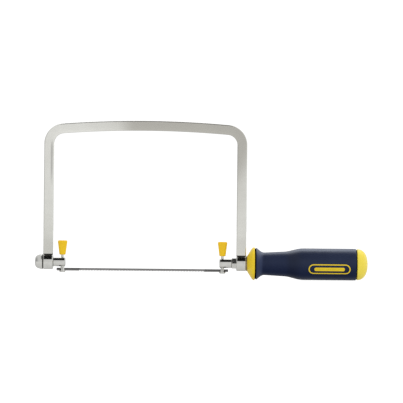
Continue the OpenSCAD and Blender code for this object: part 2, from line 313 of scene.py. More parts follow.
def box_mesh(low, high):
    """Vertices and faces of a box."""
    vertices = [(x, y, z) for z in (low[2], high[2])
                for x, y in ((low[0], low[1]), (high[0], low[1]), (high[0], high[1]), (low[0], high[1]))]
    faces = [(0, 1, 2, 3), (7, 6, 5, 4), (0, 4, 5, 1), (1, 5, 6, 2), (2, 6, 7, 3), (3, 7, 4, 0)]
    return vertices, faces


def hexagon(half, corner_limit):
    """Radius of a hexagon by angle, with two corners on the Y axis. The limit cuts its corners."""
    def radius(angle):
        return min(half / math.cos((angle % (math.pi / 3)) - math.pi / 6), corner_limit)
    return radius


def apply_modifiers(piece):
    bpy.context.view_layer.update()
    evaluated = piece.evaluated_get(bpy.context.evaluated_depsgraph_get())
    mesh = bpy.data.meshes.new_from_object(evaluated)
    piece.modifiers.clear()
    piece.data = mesh


def cut(piece, cutters, bevel=0.06):
    """Takes cutters, each given as vertices and faces, out of a piece and rounds its hard edges."""
    hard_edge = math.radians(40)
    bodies = [add_object("cutter", *shape) for shape in cutters]
    for body in bodies:
        modifier = piece.modifiers.new("cut", "BOOLEAN")
        modifier.operation = "DIFFERENCE"
        modifier.solver = "EXACT"
        modifier.object = body
    apply_modifiers(piece)
    clean(piece.data, CUT_MERGE)
    rounding = piece.modifiers.new("rounding", "BEVEL")
    rounding.width = bevel * MM
    rounding.segments = 2
    rounding.limit_method = "ANGLE"
    rounding.angle_limit = hard_edge
    rounding.use_clamp_overlap = True
    apply_modifiers(piece)
    shade(piece.data, SHARP)
    for body in bodies:
        bpy.data.objects.remove(body)


# ---------------------------------------------------------------- material helpers

def linear(red, green, blue):
    """Linear colour of a screen colour given in 0 to 255."""
    def channel(value):
        value /= 255
        return value / 12.92 if value <= 0.04045 else ((value + 0.055) / 1.055) ** 2.4
    return (channel(red), channel(green), channel(blue), 1.0)


class Shader:
    """The nodes of a material or of the world, under construction."""

    def __init__(self, owner):
        owner.use_nodes = True
        self.owner = owner
        self.tree = owner.node_tree
        self.tree.nodes.clear()

    def add(self, kind, output=0, settings=None, **inputs):
        """Adds a node and returns one of its outputs.

        Inputs are values or other outputs. Their names are the node's own with _ for a space, or i
        and the input's number.
        """
        node = self.tree.nodes.new(kind)
        for key, value in (settings or {}).items():
            setattr(node, key, value)
        for key, value in inputs.items():
            numbered = key[0] == "i" and key[1:].isdigit()
            socket = node.inputs[int(key[1:]) if numbered else key.replace("_", " ")]
            if isinstance(value, bpy.types.NodeSocket):
                self.tree.links.new(value, socket)
            else:
                socket.default_value = value
        return node.outputs[output]

    def place(self, scale=(1, 1, 1)):
        """Coordinates in the frame, times a scale."""
        where = self.add("ShaderNodeTexCoord", "Object")
        return self.add("ShaderNodeMapping", Vector=where, Scale=scale)

    def axis(self, letter, node="ShaderNodeTexCoord", output="Object"):
        """One component of a position or of a direction."""
        return self.add("ShaderNodeSeparateXYZ", letter, Vector=self.add(node, output))

    def noise(self, where, scale, detail=3.0, roughness=0.5):
        """Noise from 0 to 1 whose scale is in cycles per metre, on top of that of its coordinates."""
        return self.add("ShaderNodeTexNoise", Vector=where, Scale=scale, Detail=detail,
                        Roughness=roughness)

    def span(self, value, low, high, to_low, to_high, smooth=False):
        """Maps the range low to high of a value to another range, and holds the ends beyond it."""
        kind = {"interpolation_type": "SMOOTHSTEP"} if smooth else None
        return self.add("ShaderNodeMapRange", settings=kind, Value=value, From_Min=low, From_Max=high,
                        To_Min=to_low, To_Max=to_high)

    def math(self, operation, a, b=0.0):
        return self.add("ShaderNodeMath", settings={"operation": operation}, i0=a, i1=b)

    def product(self, first, *others):
        for other in others:
            first = self.math("MULTIPLY", first, other)
        return first

    def away(self, value, centre):
        """How far a value is from a centre."""
        return self.math("ABSOLUTE", self.math("SUBTRACT", value, centre))

    def mix(self, share, a, b):
        """Blends two colours."""
        node = {"data_type": "RGBA", "clamp_factor": True}
        return self.add("ShaderNodeMix", 2, settings=node, i0=share, i6=a, i7=b)

    def bump(self, height, distance, strength):
        """Normal of a surface whose bumps are up to a distance in metres high."""
        return self.add("ShaderNodeBump", Height=height, Distance=distance, Strength=strength)

    def finish(self, **inputs):
        """Ends a material in a principled surface and returns it."""
        surface = self.add("ShaderNodeBsdfPrincipled", **inputs)
        self.end("ShaderNodeOutputMaterial", surface)
        return self.owner

    def end(self, kind, surface):
        """Links a surface to an output node."""
        output = self.tree.nodes.new(kind)
        self.tree.links.new(surface, output.inputs["Surface"])


def new_shader(name):
    return Shader(bpy.data.materials.new(name))


# ---------------------------------------------------------------- materials

def painted_bow_shade(s, height, along):
    """Shares of two tones of painted shade: a patch on the rear half of the bow, and the lower legs."""
    squash = 0.85
    centre = ((bow_high.x - 55) * MM, 0, (bow_high.z - 3) * MM * squash)
    offset = s.add("ShaderNodeVectorMath", settings={"operation": "DISTANCE"}, output="Value",
                   i0=s.place((1, 1, squash)), i1=centre)
    patch = s.math("ADD", s.span(offset, 0.054, 0.074, 0.6, 0.0, smooth=True),
                   s.span(offset, 0.055, 0.14, 0.4, 0.0))
    feet = s.product(s.span(height, 0.01, 0.15, 0.85, 0.0),
                     s.span(along, bow_low.x * MM, bow_high.x * MM, 1.0, 0.45))
    return patch, feet


def painted_inner_reflection(s, height, along):
    """Share of a painted dark reflection along the inside of the front leg, below its corner."""
    strip_x = (bow_low.x + BAR_WIDTH - 2.15) * MM
    return s.product(s.span(height, 0.072, 0.092, 0.0, 1.0, smooth=True),
                     s.span(height, 0.112, 0.121, 1.0, 0.0, smooth=True),
                     s.span(s.away(along, strip_x), 0.0002, 0.0017, 0.5, 0.0, smooth=True))


def satin_nickel():
    """Brushed nickel plate of the bow: fine streaks along the bar, a slow change of tone, and painted
    shade on its rear half, its lower legs and its feet, with a painted dark reflection inside the front
    leg.
    """
    s = new_shader("satin_nickel")
    along_bar = s.add("ShaderNodeUVMap", settings={"uv_map": "Grain"})
    grain = s.noise(s.add("ShaderNodeMapping", Vector=along_bar, Scale=(60, 9000, 1)), 1.0, 4.0, 0.6)
    cloud = s.noise(s.place(), 35.0)
    height, along = s.axis("Z"), s.axis("X")
    patch, feet = painted_bow_shade(s, height, along)
    # Painted shade: a darker tone on the lower legs, and a darker patch on the rear half of the bow.
    tone = s.mix(feet, linear(236, 236, 231), linear(206, 206, 199))
    tone = s.mix(patch, tone, linear(183, 181, 174))
    tone = s.mix(s.span(cloud, 0.35, 0.7, 0.0, 0.35), tone, linear(190, 188, 180))
    tone = s.mix(s.span(grain, 0.45, 0.75, 0.0, 0.18), tone, linear(150, 149, 144))
    # Painted reflection: a dark strip along the inside of the front leg.
    tone = s.mix(painted_inner_reflection(s, height, along), tone, linear(138, 136, 134))
    # Painted shade: a dark band at the foot of each leg, just above its barrel.
    painted_contact_shade = s.span(height, (BARREL_R + 0.1) * MM, (BARREL_R + 0.6) * MM, 1.0, 0.0, smooth=True)
    tone = s.mix(painted_contact_shade, tone, linear(60, 58, 55))
    rough = s.math("ADD", s.span(grain, 0.3, 0.7, 0.15, 0.26), s.span(cloud, 0.3, 0.7, -0.03, 0.04))
    return s.finish(Base_Color=tone, Metallic=1.0, Roughness=rough,
                    Normal=s.bump(grain, distance=0.00001, strength=0.35))


def chrome(name, polished, hazy):
    """Chrome with fine turning rings, tiny scratches and haze. Its roughness is polished to hazy."""
    s = new_shader(name)
    rings = s.noise(s.place((9000, 60, 60)), 1.0, 3.0, 0.6)
    haze = s.noise(s.place(), 260.0, 4.0)
    scratches = s.noise(s.place((2600, 300, 900)), 1.0, 5.0, 0.7)
    tone = s.mix(s.span(haze, 0.4, 0.7, 0.0, 0.5), linear(204, 204, 200), linear(188, 187, 182))
    tone = s.mix(s.span(scratches, 0.62, 0.75, 0.0, 0.35), tone, linear(150, 149, 145))
    rough = s.math("ADD", s.span(haze, 0.3, 0.7, polished, hazy), s.span(scratches, 0.6, 0.75, 0.0, 0.1))
    return s.finish(Base_Color=tone, Metallic=1.0, Roughness=rough,
                    Normal=s.bump(rings, distance=0.000004, strength=0.3))


def hard_yellow(name, main, deep, rub):
    """Semi-gloss moulded plastic with slight swirl, fine grain and rubbed spots."""
    s = new_shader(name)
    swirl = s.noise(s.place(), 55.0, 4.0, 0.55)
    grain = s.noise(s.place(), 2600.0, 2.0)
    rubbed = s.noise(s.place(), 210.0, 5.0, 0.6)
    tone = s.mix(s.span(swirl, 0.35, 0.7, 0.0, 1.0), linear(*main), linear(*deep))
    tone = s.mix(s.span(rubbed, 0.62, 0.8, 0.0, 0.25), tone, linear(*rub))
    rough = s.math("ADD", s.span(rubbed, 0.3, 0.7, 0.32, 0.42), s.span(grain, 0.3, 0.7, -0.02, 0.03))
    return s.finish(Base_Color=tone, Roughness=rough, Specular_IOR_Level=0.35,
                    Normal=s.bump(grain, distance=0.00002, strength=0.25))


def painted_seam_shade(s, along, seam_x):
    """Share of painted shade around a seam of the handle."""
    core, edge = 0.55, 0.9
    return s.span(s.away(along, seam_x * MM), core * MM, edge * MM, 1.0, 0.0, smooth=True)


def soft_navy():
    """Soft-touch elastomer: spark-eroded grain, a little dust, painted shade in its seams and a soft
    gloss.

    It has a painted highlight where it faces the rear and painted shade where it faces the front. The
    gloss is strongest where it faces up and turns away from the view.
    """
    s = new_shader("soft_navy")
    grain = s.noise(s.place(), 1700.0, 3.0, 0.6)
    patch = s.noise(s.place(), 45.0, 4.0)
    dust = s.noise(s.place(), 900.0, 2.0, 0.7)
    along, slope = s.axis("X"), s.axis("X", output="Normal")
    seam_shade = s.math("MAXIMUM", painted_seam_shade(s, along, (SEAM_FRONT_X + SEAM_REAR_X) / 2),
                   painted_seam_shade(s, along, sleeve_high.x - 0.2))
    tone = s.mix(s.span(patch, 0.3, 0.7, 0.0, 1.0), linear(24, 31, 54), linear(29, 37, 62))
    tone = s.mix(s.span(dust, 0.66, 0.8, 0.0, 0.2), tone, linear(70, 78, 104))
    # Painted highlight where the surface faces the rear, and painted shade where it faces the front.
    tone = s.mix(s.span(slope, 0.15, 0.6, 0.0, 0.7, smooth=True), tone, linear(52, 61, 88))
    tone = s.mix(s.span(slope, -0.3, -0.05, 0.5, 0.0, smooth=True), tone, linear(17, 21, 36))
    # Painted shade in the seams; the gloss is taken away there too.
    tone = s.mix(seam_shade, tone, linear(8, 8, 10))
    rough = s.math("ADD", s.span(grain, 0.3, 0.7, 0.36, 0.48), s.span(patch, 0.3, 0.7, -0.04, 0.04))
    facing_up = s.axis("Z", "ShaderNodeNewGeometry", "Normal")
    turned_away = s.add("ShaderNodeLayerWeight", "Facing", Blend=0.5)
    gloss = s.product(s.span(facing_up, -0.7, 0.3, 0.08, 1.0, smooth=True),
                      s.span(turned_away, 0.2, 0.65, 0.15, 1.0, smooth=True),
                      s.math("SUBTRACT", 1.0, seam_shade),
                      s.span(along, -0.045, -0.024, 0.72, 1.0, smooth=True))
    return s.finish(Base_Color=tone, Roughness=rough, Specular_IOR_Level=gloss, IOR=1.74,
                    Specular_Tint=linear(222, 234, 255),
                    Normal=s.bump(grain, distance=0.00006, strength=0.45))


def blade_steel():
    """Spring steel: plain ends in a dark temper colour, a lighter toothed length, a bright edge."""
    s = new_shader("blade_steel")
    streaks = s.noise(s.place((45, 4000, 5200)), 1.0, 4.0, 0.65)
    temper = s.noise(s.place(), 60.0)
    toothed_half = ((blade_high.x - blade_low.x) / 2 - BLADE_OVERHANG - BLADE_PLAIN) * MM
    from_middle = s.away(s.axis("X"), middle("blade").x * MM)
    toothed = s.span(from_middle, toothed_half - 0.002, toothed_half + 0.001, 1.0, 0.0, smooth=True)
    gullet_z, tip_z = (blade_low.z + TOOTH_DEPTH) * MM, blade_low.z * MM
    ground = s.span(s.axis("Z"), gullet_z, tip_z, 0.1, 0.85)
    tone = s.mix(s.span(temper, 0.35, 0.65, 0.0, 1.0), linear(60, 59, 60), linear(48, 48, 52))
    tone = s.mix(toothed, tone, linear(112, 111, 111))
    tone = s.mix(s.span(streaks, 0.5, 0.75, 0.0, 0.5), tone, linear(126, 124, 120))
    tone = s.mix(ground, tone, linear(205, 204, 202))
    return s.finish(Base_Color=tone, Metallic=1.0, Roughness=s.span(streaks, 0.3, 0.7, 0.28, 0.45),
                    Normal=s.bump(streaks, distance=0.00001, strength=0.3))


def dark_steel():
    """Oiled black-oxide steel of the washer, the snap ring and the blade's pins."""
    s = new_shader("dark_steel")
    oxide = s.noise(s.place(), 900.0, 4.0, 0.6)
    tone = s.mix(s.span(oxide, 0.35, 0.7, 0.0, 1.0), linear(78, 78, 78), linear(104, 102, 98))
    return s.finish(Base_Color=tone, Metallic=1.0, Roughness=s.span(oxide, 0.3, 0.7, 0.30, 0.5),
                    Normal=s.bump(oxide, distance=0.00001, strength=0.3))


def aged_brass():
    """Turned brass with tarnish in its low spots."""
    s = new_shader("aged_brass")
    rings = s.noise(s.place((7000, 50, 50)), 1.0, 3.0, 0.6)
    tarnish = s.noise(s.place(), 320.0, 4.0, 0.6)
    tone = s.mix(s.span(tarnish, 0.4, 0.7, 0.0, 1.0), linear(172, 152, 112), linear(124, 110, 86))
    return s.finish(Base_Color=tone, Metallic=1.0, Roughness=s.span(tarnish, 0.3, 0.7, 0.24, 0.42),
                    Normal=s.bump(rings, distance=0.000006, strength=0.3))


NICKEL = satin_nickel()
CHROME = chrome("chrome", 0.04, 0.10)
DULL_CHROME = chrome("dull_chrome", 0.18, 0.24)
YELLOW = hard_yellow("hard_yellow", (224, 194, 26), (214, 182, 14), (234, 210, 90))
LEVER_YELLOW = hard_yellow("lever_yellow", (230, 190, 6), (224, 179, 4), (238, 206, 60))
PALE_YELLOW = hard_yellow("pale_yellow", (234, 214, 78), (224, 202, 60), (242, 226, 130))
NAVY = soft_navy()
BLADE = blade_steel()
DARK = dark_steel()
BRASS = aged_brass()


# ---------------------------------------------------------------- bow and barrels

def bar_section():
    """Closed outline of the bar: (across its width, across its thickness)."""
    half_width, half_depth, steps = BAR_WIDTH / 2, BAR_THICKNESS / 2, 6
    outline = []
    for quarter, (u, v) in enumerate(((1, 1), (-1, 1), (-1, -1), (1, -1))):
        for i in range(steps + 1):
            angle = math.pi / 2 * (quarter + i / steps)
            outline.append((u * (half_width - BAR_EDGE_R) + BAR_EDGE_R * math.cos(angle),
                            v * (half_depth - BAR_EDGE_R) + BAR_EDGE_R * math.sin(angle)))
    return outline


def bow_path():
    """Stations on the bow's middle line from the rear leg to the front leg: (x, z, outward angle)."""
    centre_x = (bow_low.x + bow_high.x) / 2
    half_span = (bow_high.x - bow_low.x - BAR_WIDTH) / 2
    corner_x = half_span - CORNER_R
    top_z = bow_high.z - BAR_WIDTH / 2 - TOP_R
    corner_z = top_z + math.sqrt((TOP_R - CORNER_R) ** 2 - corner_x ** 2)
    top_angle = math.asin(corner_x / (TOP_R - CORNER_R))
    corner_turn = math.pi / 2 - top_angle
    leg_steps, corner_steps, top_steps = 14, 22, 30
    half = []
    for i in range(leg_steps):
        half.append((half_span, corner_z * i / leg_steps, 0.0))
    for i in range(corner_steps):
        angle = corner_turn * i / corner_steps
        half.append((corner_x + CORNER_R * math.cos(angle), corner_z + CORNER_R * math.sin(angle), angle))
    for i in range(top_steps + 1):
        angle = corner_turn + top_angle * i / top_steps
        half.append((TOP_R * math.cos(angle), top_z + TOP_R * math.sin(angle), angle))
    mirrored = [(-x, z, math.pi - angle) for x, z, angle in reversed(half[:-1])]
    return [(centre_x + x, z, angle) for x, z, angle in half + mirrored]


def build_bow():
    """Bent bar whose feet follow the barrels' round and sink into them a little."""
    section, path = bar_section(), bow_path()
    rings = []
    for x, z, angle in path:
        rings.append([(x + u * math.cos(angle), v, z + u * math.sin(angle)) for u, v in section])
    for i in (0, -1):
        rings[i] = [(x, y, math.sqrt(BARREL_R ** 2 - y ** 2) - BRAZE_SINK) for x, y, z in rings[i]]
    tips = []
    for ring in (rings[0], rings[-1]):
        centre = sum((Vector(point) for point in ring), Vector()) / len(section)
        tips.append([(centre.x, 0, BARREL_R - BRAZE_SINK)])
    piece = make_piece("bow_bar", *loft([tips[0], *rings, tips[1]]), "bow", NICKEL)
    lay_grain(piece.data, path)


def lay_grain(mesh, path):
    """Stores each corner's run along the bar and across it, in metres, for the brushed grain."""
    depth_stretch = 3
    runs = [0.0]
    for a, b in zip(path, path[1:]):
        runs.append(runs[-1] + math.hypot(b[0] - a[0], b[1] - a[1]))
    stations = [(Vector((x, 0, z)), run) for (x, z, _), run in zip(path, runs)]
    nearest = {}
    for vertex in mesh.vertices:
        here = Vector((vertex.co.x, 0, vertex.co.z)) / MM
        place, run = min(stations, key=lambda station: (station[0] - here).length_squared)
        side = math.copysign((here - place).length, (here - place).z)
        nearest[vertex.index] = (run * MM, (side + depth_stretch * vertex.co.y / MM) * MM)
    layer = mesh.uv_layers.new(name="Grain")
    for loop in mesh.loops:
        layer.data[loop.index].uv = nearest[loop.vertex_index]


def barrel_outer(low_x, high_x):
    """Outside of a barrel from its front face to its rear face, with bevelled rims."""
    return [(low_x, BARREL_R - BARREL_CHAMFER, 0.15), (low_x + BARREL_CHAMFER, BARREL_R, 0.25),
            (high_x - BARREL_CHAMFER, BARREL_R, 0.25), (high_x, BARREL_R - BARREL_CHAMFER, 0.15)]


def build_front_barrel():
    bore = SHANK_R + RUN_GAP
    low, high = front_barrel_low.x, front_barrel_high.x
    outline = fillet([(low, bore + BORE_CHAMFER), *barrel_outer(low, high), (high, bore + BORE_CHAMFER)])
    outline += [(high - BORE_CHAMFER, bore), (low + BORE_CHAMFER, bore)]
    turned("front_barrel_body", outline, "front_barrel", CHROME, closed=True)


def build_rear_barrel():
    """Barrel with a hexagonal recess in its front face."""
    bore, face_width = SHANK_R + RUN_GAP, 1.2
    recess_corner_r, mouth_corner_r, mouth_gap, mouth_depth = 5.78, 6.1, 0.3, 0.25
    low, high = rear_barrel_low.x, rear_barrel_high.x
    recess = hexagon(HEX_HALF + RUN_GAP, recess_corner_r)
    mouth = hexagon(HEX_HALF + mouth_gap, mouth_corner_r)
    outline = fillet([(low, BARREL_R - face_width), *barrel_outer(low, high),
                      (high, bore + BORE_CHAMFER)])
    outline += [(high - BORE_CHAMFER, bore), (low + HEX_RECESS, bore), (low + HEX_RECESS, recess),
                (low + mouth_depth, recess), (low, mouth)]
    turned("rear_barrel_body", outline, "rear_barrel", CHROME, closed=True)


def build_washer(node, rim_r, material):
    low, high = box_mm(node)
    bore = SHANK_R + RUN_GAP
    outline = [(low.x, bore), (low.x, high.z, rim_r), (high.x, high.z, rim_r), (high.x, bore)]
    turned(node + "_ring", fillet(outline, steps=3), node, material, closed=True)


# ---------------------------------------------------------------- spigots

def head_outline(base_x, tip_x, radius):
    """Outside of a spigot head from its tip to its base. The tip may lie on either side."""
    inward = math.copysign(1, base_x - tip_x)
    tip_drop, tip_run, base_chamfer = 0.75, 0.55, 0.4
    return fillet([(tip_x, 0), (tip_x, radius - tip_drop, 0.15), (tip_x + tip_run * inward, radius, 0.5),
                   (base_x - base_chamfer * inward, radius, 0.2), (base_x, radius - base_chamfer, 0.1)])


def cross_hole(lever_x, head_r):
    """Countersunk hole for a stem in the upper side of a head, and a wider one in the lower side."""
    stem_r, pin_r, around = STEM_R + PRESS_GAP, LEVER_PIN_R + PRESS_GAP, 48
    stem_sink, pin_sink, beyond, lap = 0.25, 0.2, 0.5, 0.2
    top, bottom = head_r + beyond, -head_r - beyond
    upper = [(0, 0), (0, stem_r), (head_r - stem_sink, stem_r), (top, stem_r + stem_sink + beyond),
             (top, 0)]
    lower = [(bottom, 0), (bottom, pin_r + pin_sink + beyond), (-head_r + pin_sink, pin_r),
             (lap, pin_r), (lap, 0)]
    return [turned_about_z(upper, lever_x, around), turned_about_z(lower, lever_x, around)]


def build_front_spigot():
    """Head with a shank that runs forward through the front barrel."""
    low, high = box_mm("front_spigot")
    base_x, end_chamfer = front_barrel_high.x + RUN_GAP, 0.6
    outline = head_outline(base_x, high.x, high.z)
    outline += [(base_x, SHANK_R), (low.x + end_chamfer, SHANK_R), (low.x, SHANK_R - end_chamfer),
                (low.x, 0)]
    piece = turned("front_spigot_body", outline, "front_spigot", CHROME)
    cut(piece, cross_hole(middle("front_lever_pin").x, high.z))


def build_front_dome_nut():
    """Closed nut with a slight taper and a blunt dome, whose first points give way to a rounded rim."""
    low, high = box_mm("front_dome_nut")
    base_x, tip_x, rim_r, bore = high.x, low.x, high.z, SHANK_R + PRESS_GAP
    power, steps, under_rim = 4, 40, 2

    def tapered(x, radius):
        return radius * (1 - NUT_TAPER * (base_x - x) / (base_x - tip_x))

    dome = [(x, tapered(x, radius)) for x, radius in superellipse(base_x, tip_x, rim_r, power, steps)]
    rim_x, bottom_x = base_x - NUT_RIM, base_x - NUT_BORE_DEPTH
    rim = fillet([(base_x, bore), (base_x, rim_r - 0.1, 0.3), (rim_x, tapered(rim_x, rim_r))])
    outline = [(bottom_x, 0), (bottom_x, bore)] + rim + dome[under_rim:]
    turned("front_dome_nut_body", outline, "front_dome_nut", CHROME)


def ring_groove(surface_r, floor_r):
    """Groove for the snap ring, front to rear, in a surface turned to one radius."""
    front, rear = ring_low.x - RUN_GAP, ring_high.x + RUN_GAP
    return [(front, surface_r), (front, floor_r), (rear, floor_r), (rear, surface_r)]


def build_rear_spigot():
    """Head with a blind bore for the draw stud's journal, grooved for the snap ring."""
    low, high = box_mm("rear_spigot")
    bore, mouth, bottom_x = JOURNAL_R + RUN_GAP, 0.2, stud_low.x - 0.2
    outline = head_outline(high.x, low.x, high.z)
    outline += [(high.x, bore + mouth), (high.x - mouth, bore)]
    outline += reversed(ring_groove(bore, ring_high.z + RUN_GAP))
    outline += [(bottom_x, bore), (bottom_x, 0)]
    piece = turned("rear_spigot_body", outline, "rear_spigot", CHROME)
    cut(piece, cross_hole(middle("rear_lever_pin").x, high.z))


def build_draw_stud():
    """Grooved journal, hexagon with turned-down corners, and a round shank."""
    corner_r, face_r, chamfer, steps = 5.70, HEX_HALF - 0.1, 0.55, 6
    journal_chamfer, end_chamfer = 0.3, 0.8
    # Distance inward from an end face of the hexagon, and its shape there as its corners rise
    rise = []
    for i in range(1, steps + 1):
        rise.append((chamfer * i / steps, hexagon(HEX_HALF, face_r + (corner_r - face_r) * i / steps)))
    outline = [(stud_low.x, 0), (stud_low.x, JOURNAL_R - journal_chamfer),
               (stud_low.x + journal_chamfer, JOURNAL_R), *ring_groove(JOURNAL_R, RING_GROOVE_R),
               (HEX_FRONT_X, JOURNAL_R), (HEX_FRONT_X, face_r)]
    outline += [(HEX_FRONT_X + inward, radius) for inward, radius in rise]
    outline += [(HEX_REAR_X - inward, radius) for inward, radius in reversed(rise)]
    outline += [(HEX_REAR_X, face_r), (HEX_REAR_X, SHANK_R), (stud_high.x - end_chamfer, SHANK_R),
                (stud_high.x, SHANK_R - end_chamfer), (stud_high.x, 0)]
    turned("draw_stud_body", outline, "draw_stud", DULL_CHROME, sharp=25)


# ---------------------------------------------------------------- levers

def build_lever_pin(node, outboard):
    """Pin across a head: stem, shank, and a flared foot with a slot and a groove for the blade."""
    low, high = box_mm(node)
    x, foot_r = middle(node).x, (high.x - low.x) / 2
    shoulder_z, flare_z, foot_height, foot_chamfer = 1.0, -5.2, 1.0, 0.7
    reach, slot_top = foot_r + 2, blade_high.z + 0.1
    outline = fillet([(low.z, 0), (low.z, foot_r - foot_chamfer, 0.6), (low.z + foot_height, foot_r, 0.5),
                      (flare_z, LEVER_PIN_R, 0.8), (shoulder_z, LEVER_PIN_R), (shoulder_z, STEM_R),
                      (high.z, STEM_R), (high.z, 0)])
    piece = make_piece(node + "_body", *turned_about_z(outline, x, around=64), node, CHROME)
    slot = box_mesh((x - reach, -SLOT_HALF, low.z - 1), (x + reach, SLOT_HALF, slot_top))
    groove = turned_about_y([(-reach, 0), (-reach, GROOVE_R), (reach, GROOVE_R), (reach, 0)],
                            x + outboard * BLADE_SEAT, middle("blade_pins").z, around=48)
    cut(piece, [slot, groove], bevel=0.07)


def rounded_stations(height, bottom_r, top_r):
    """(height, inset) from the bottom to the top of a body with rounded ends."""
    end_steps, body_steps = 8, 16
    quarter = [math.pi / 2 * i / end_steps for i in range(end_steps + 1)]
    stations = [(bottom_r * (1 - math.cos(a)), bottom_r * (1 - math.sin(a))) for a in quarter]
    for i in range(1, body_steps):
        stations.append((bottom_r + (height - bottom_r - top_r) * i / body_steps, 0))
    stations += [(height - top_r + top_r * math.sin(a), top_r * (1 - math.cos(a))) for a in quarter]
    return stations


def build_lever_grip(node, pin_node):
    """Flared plastic grip: a lens-shaped section that widens upward, with a blind hole for the stem."""
    low, high = box_mm(node)
    x, height, around = middle(node).x, high.z - low.z, 72
    half_top, half_bottom = (high.x - low.x) / 2, 3.0
    thick_top, thick_bottom = (high.y - low.y) / 2, 2.85
    flatten, inset_share = 1.15, 0.9
    hole_r, hole_z = STEM_R + PRESS_GAP, box_mm(pin_node)[1].z + 0.1
    rings = [[(x, 0, hole_z)], circle_about_z(x, hole_z, hole_r, around),
             circle_about_z(x, low.z, hole_r, around)]
    for z, inset in rounded_stations(height, bottom_r=0.6, top_r=1.5):
        t = z / height
        width = half_bottom + (half_top - half_bottom) * t - inset
        thick = thick_bottom + (thick_top - thick_bottom) * t - inset * inset_share
        power = 2.0 + 0.5 * t
        ring = []
        for angle in turn_angles(around):
            c, s = math.cos(angle), math.sin(angle)
            ring.append((x + width * math.copysign(abs(c) ** (2 / power), c),
                         thick * math.copysign(abs(s) ** (2 / power * flatten), s), low.z + z))
        rings.append(ring)
    rings.append([(x, 0, high.z)])
    grip = make_piece(node + "_body", *loft(rings), node, LEVER_YELLOW, sharp=50)
    grip.visible_glossy = False


# ---------------------------------------------------------------- blade

def blade_stations():
    """(x, z of the lower edge, sideways set) along the blade. A tooth runs from gullet to gullet."""
    start, end, corner, ground_off = blade_low.x, blade_high.x, 0.4, 0.04
    teeth_x = start + BLADE_OVERHANG + BLADE_PLAIN
    toothed = end - start - 2 * (BLADE_OVERHANG + BLADE_PLAIN)
    teeth = int(toothed / TOOTH_PITCH + 1e-6)
    tip, gullet = blade_low.z, blade_low.z + TOOTH_DEPTH
    stations = [(start, tip + corner, 0), (start + corner, tip, 0), (teeth_x - corner, tip, 0),
                (teeth_x, gullet, 0)]
    for i in range(teeth):
        side = TOOTH_SET * SET_PATTERN[i % len(SET_PATTERN)]
        x = teeth_x + i * TOOTH_PITCH
        stations += [(x + share * TOOTH_PITCH, tip + ground_off, side) for share in TOOTH_TIP]
        stations.append((x + TOOTH_PITCH, gullet, 0))
    tail_x = teeth_x + teeth * TOOTH_PITCH
    stations += [(tail_x + corner, tip, 0), (end - corner, tip, 0), (end, tip + corner, 0)]
    return stations


def build_blade():
    """Strip with a straight back, a root line that stays flat, and a lower edge that takes the set."""
    half, back, edge = (blade_high.y - blade_low.y) / 2, blade_high.z, 0.08
    gullet_z = blade_low.z + TOOTH_DEPTH
    root, highest_lower = gullet_z + 0.05, gullet_z + 0.02
    rings = []
    for x, z, side in blade_stations():
        lower = min(z, highest_lower)
        rings.append([(x, -half + edge, back), (x, half - edge, back), (x, half, back - edge),
                      (x, half, root), (x, half - edge + side, lower), (x, -half + edge + side, lower),
                      (x, -half, root), (x, -half, back - edge)])
    tips = [[(x, 0, (back + root) / 2)] for x in (rings[0][0][0], rings[-1][0][0])]
    make_piece("blade_strip", *loft([tips[0], *rings, tips[1]]), "blade", BLADE, sharp=20)


def build_blade_pins():
    low, high = box_mm("blade_pins")
    radius, length, chamfer, around = (high.z - low.z) / 2, high.y, 0.18, 40
    outline = [(-length, 0), (-length, radius - chamfer), (-length + chamfer, radius),
               (length - chamfer, radius), (length, radius - chamfer), (length, 0)]
    for label, x in (("front", low.x + radius), ("rear", high.x - radius)):
        shape = turned_about_y(outline, x, middle("blade_pins").z, around)
        make_piece(label + "_blade_pin", *shape, "blade_pins", DARK)


# ---------------------------------------------------------------- handle

def smooth(t):
    """Eases from 0 to 1, and stays there outside that range."""
    t = max(0.0, min(1.0, t))
    return t * t * (3 - 2 * t)


def sleeve_radius(x):
    """Outer radius of the soft sleeve: a flare behind the crest, the waist and the palm swell."""
    if x < WAIST_FRONT_X:
        share = (WAIST_FRONT_X - x) / (WAIST_FRONT_X - CREST_X)
        return WAIST_R + (CREST_R - WAIST_R - 0.2) * smooth(share ** 1.3)
    neck = WAIST_R + WAIST_GROWTH * (x - WAIST_FRONT_X) / (WAIST_REAR_X - WAIST_FRONT_X)
    return neck + (PALM_R - neck) * smooth((x - WAIST_REAR_X) / (PALM_FRONT_X - WAIST_REAR_X))


def build_core():
    """Hard plastic core: the cone that shows in front, and a tube with the insert's pocket inside."""
    front, bore, face_r, steps = core_low.x, SHANK_R + 0.4, 7.45, 8
    # Distance behind the front, depth below the crest, and rounding
    cone = ((4.0, 2.0, 0.8), (5.2, 0.55, 0.7), (6.4, 0, 0.7))
    outline = fillet([(front, bore), (front, face_r, 0.3),
                      *((front + run, CREST_R - drop, rounding) for run, drop, rounding in cone),
                      (SEAM_FRONT_X, CREST_R - 0.1, 0.3), (SEAM_FRONT_X, CREST_R - SEAM_DEPTH)], steps)
    outline += [(SEAM_FRONT_X, NECK_R), (RAMP_FRONT_X, NECK_R), (RAMP_REAR_X, TUBE_R),
                (core_high.x, TUBE_R), (core_high.x, CAVITY_R), (CAVITY_X, CAVITY_R), (CAVITY_X, bore)]
    round_r, hex_r = INSERT_R + PRESS_GAP, hexagon(insert_high.z + PRESS_GAP, 2 * INSERT_R)
    pocket_front, pocket_rear = insert_low.x - PRESS_GAP, insert_high.x + PRESS_GAP
    hex_end = insert_low.x + INSERT_HEX_LENGTH + PRESS_GAP
    outline += [(pocket_rear, bore), (pocket_rear, round_r), (hex_end, round_r), (hex_end, hex_r),
                (pocket_front, hex_r), (pocket_front, bore)]
    turned("handle_core_body", outline, "handle_core", YELLOW, closed=True)


